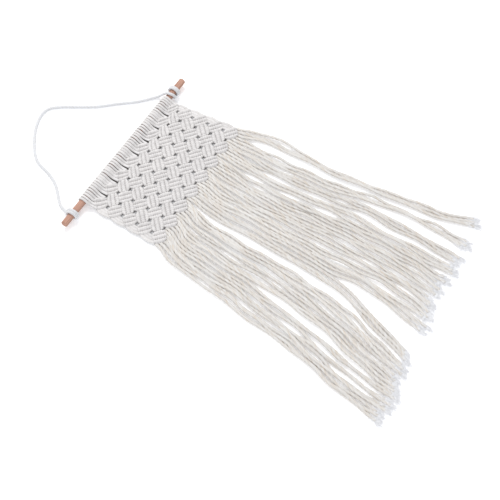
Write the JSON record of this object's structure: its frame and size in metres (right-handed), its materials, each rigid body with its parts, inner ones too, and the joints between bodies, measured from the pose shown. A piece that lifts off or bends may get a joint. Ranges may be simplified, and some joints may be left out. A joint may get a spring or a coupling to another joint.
{
  "type": "macrame wall hanging",
  "caption": "Macrame wall hanging: cotton cords knotted into a diagonal panel below a wooden dowel, with a long fringe and a hanging cord.",
  "frame": {"origin": "bottom centre of the bounding box of everything but the hanging cord, with the hanging lying flat on its back", "axes": "+X along the dowel to the hanging's own right, +Y from the fringe towards the hanging cord, +Z out of the front face"},
  "size_m": [0.3424, 0.6748, 0.0186],
  "materials": {
    "dowel_wood": "matt, sanded, unfinished",
    "hanging_cotton": "smooth braided cotton",
    "knotted_cotton": "twisted cotton cord, matt",
    "fringe_cotton": "loosened twisted cotton cord, frayed at the tips"
  },
  "bodies": {
    "dowel": {"dowel": "dowel_wood"},
    "hanger": {"hanging_cord": "hanging_cotton", "hanging_knot_left": "hanging_cotton", "hanging_knot_right": "hanging_cotton"},
    "panel": {"larks_head_01": "knotted_cotton", "larks_head_02": "knotted_cotton", "larks_head_03": "knotted_cotton", "larks_head_04": "knotted_cotton", "larks_head_05": "knotted_cotton", "larks_head_06": "knotted_cotton", "larks_head_07": "knotted_cotton", "larks_head_08": "knotted_cotton", "larks_head_09": "knotted_cotton", "larks_head_10": "knotted_cotton", "larks_head_11": "knotted_cotton", "larks_head_12": "knotted_cotton", "larks_head_13": "knotted_cotton", "larks_head_14": "knotted_cotton", "larks_head_15": "knotted_cotton", "larks_head_16": "knotted_cotton", "larks_head_17": "knotted_cotton", "larks_head_18": "knotted_cotton", "larks_head_19": "knotted_cotton", "larks_head_20": "knotted_cotton", "larks_head_21": "knotted_cotton", "larks_head_22": "knotted_cotton", "larks_head_23": "knotted_cotton", "larks_head_24": "knotted_cotton", "knot_row_1": "knotted_cotton", "knot_row_2": "knotted_cotton", "knot_row_3": "knotted_cotton", "knot_row_4": "knotted_cotton", "knot_row_5": "knotted_cotton", "knot_row_6": "knotted_cotton", "knot_row_7": "knotted_cotton", "knot_row_8": "knotted_cotton", "knot_row_9": "knotted_cotton", "selvedge_left": "knotted_cotton", "selvedge_right": "knotted_cotton"},
    "fringe": {"fringe_01": "fringe_cotton", "fringe_02": "fringe_cotton", "fringe_03": "fringe_cotton", "fringe_04": "fringe_cotton", "fringe_05": "fringe_cotton", "fringe_06": "fringe_cotton", "fringe_07": "fringe_cotton", "fringe_08": "fringe_cotton", "fringe_09": "fringe_cotton", "fringe_10": "fringe_cotton", "fringe_11": "fringe_cotton", "fringe_12": "fringe_cotton", "fringe_13": "fringe_cotton", "fringe_14": "fringe_cotton", "fringe_15": "fringe_cotton", "fringe_16": "fringe_cotton"}
  },
  "joints": [
    {"name": "hanger_swing", "type": "hinge", "parent": "dowel", "child": "hanger", "pos_m": [0.00414, 0.25451, 0.0093], "axis": [1, 0, 0], "range_deg": [0, 90]},
    {"name": "panel_lift", "type": "hinge", "parent": "dowel", "child": "panel", "pos_m": [0.00414, 0.25451, 0.0093], "axis": [1, 0, 0], "range_deg": [-60, 0]},
    {"name": "fringe_lift", "type": "hinge", "parent": "panel", "child": "fringe", "pos_m": [0.01239, 0.12994, 0.007], "axis": [0.9987, 0.0519, 0], "range_deg": [-60, 0]}
  ]
}
